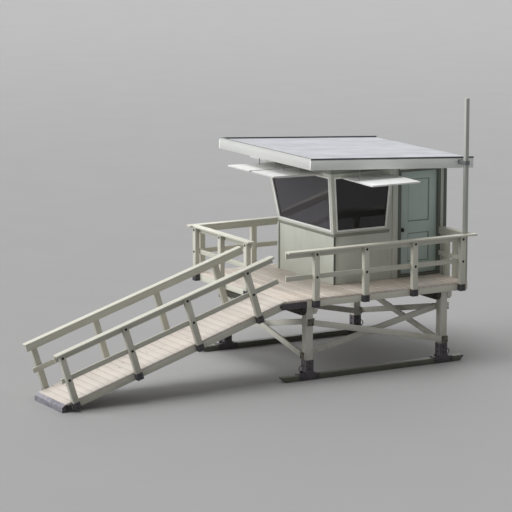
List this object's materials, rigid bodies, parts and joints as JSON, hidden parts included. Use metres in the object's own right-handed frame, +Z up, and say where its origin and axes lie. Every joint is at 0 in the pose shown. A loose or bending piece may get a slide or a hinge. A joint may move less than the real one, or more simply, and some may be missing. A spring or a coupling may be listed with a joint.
{
  "type": "lifeguard tower",
  "caption": "Timber beach lifeguard tower: railed deck on braced legs and skids, small cabin with leaning windows and held-out shutters, flat roof, pole and hinged access ramp.",
  "frame": {"origin": "on the underside of the near skid, midway between its two legs", "axes": "+Z up, +X from the ramp towards the rear wall, +Y from the door side towards the far side"},
  "size_m": [9.0409, 4.5224, 5.05],
  "materials": {
    "skid_timber": "rough painted timber",
    "frame_timber": "painted timber, weathered",
    "rail_timber": "painted timber, weathered",
    "deck_timber": "bare worn boards",
    "wall_paint": "painted plywood",
    "window_paint": "white gloss paint",
    "fascia_paint": "painted boards",
    "shutter_paint": "white painted plywood",
    "door_paint": "blue grey paint",
    "roof_covering": "pale roofing membrane",
    "window_glass": "tinted",
    "dark_steel": "dark galvanised steel, weathered",
    "toe_steel": "worn steel plate"
  },
  "bodies": {
    "tower": {"back_rail": "rail_timber", "back_rail_posts": "rail_timber", "cabin_floor": "wall_paint", "cross_beams": "frame_timber", "deck_boards": "deck_timber", "door_frame": "window_paint", "door_hinges": "dark_steel", "door_pier": "wall_paint", "end_fascias": "fascia_paint", "end_joists": "frame_timber", "far_header": "wall_paint", "far_wall": "wall_paint", "far_window_frame": "window_paint", "front_glass": "window_glass", "front_header": "wall_paint", "front_rail": "rail_timber", "front_rail_posts": "rail_timber", "front_shutters": "shutter_paint", "front_wall": "wall_paint", "front_window_frame": "window_paint", "inner_braces": "frame_timber", "inner_joists": "frame_timber", "leg_shoes": "dark_steel", "legs": "frame_timber", "near_header": "wall_paint", "near_rail": "rail_timber", "near_rail_posts": "rail_timber", "near_wall": "wall_paint", "near_window_frame": "window_paint", "outer_braces": "frame_timber", "over_door": "wall_paint", "pole": "rail_timber", "pole_bracket": "dark_steel", "rafters": "fascia_paint", "rail_post_shoes": "dark_steel", "ramp_hinge": "dark_steel", "rear_far_rail": "rail_timber", "rear_rail": "rail_timber", "rear_wall": "wall_paint", "roof_deck": "roof_covering", "shutter_hangers": "dark_steel", "side_fascias": "fascia_paint", "side_glass": "window_glass", "side_joists": "frame_timber", "side_shutters": "shutter_paint", "skids": "skid_timber", "soffit": "fascia_paint", "window_cheeks": "wall_paint", "window_corner_posts": "window_paint"},
    "ramp": {"ramp_boards": "deck_timber", "ramp_far_posts": "rail_timber", "ramp_far_rail": "rail_timber", "ramp_far_stringer": "frame_timber", "ramp_near_posts": "rail_timber", "ramp_near_rail": "rail_timber", "ramp_near_stringer": "frame_timber", "ramp_nosing": "toe_steel", "ramp_post_shoes": "dark_steel"},
    "door": {"door_leaf": "door_paint"}
  },
  "joints": [
    {"name": "ramp_hinge_turn", "type": "hinge", "parent": "tower", "child": "ramp", "pos_m": [-2.11, 0.4525, 1.45], "axis": [0, 1, 0], "range_deg": [0, 17]},
    {"name": "door_swing", "type": "hinge", "parent": "tower", "child": "door", "pos_m": [1.946, 0.938, 2.5], "axis": [0, 0, -1], "range_deg": [0, 90]}
  ]
}
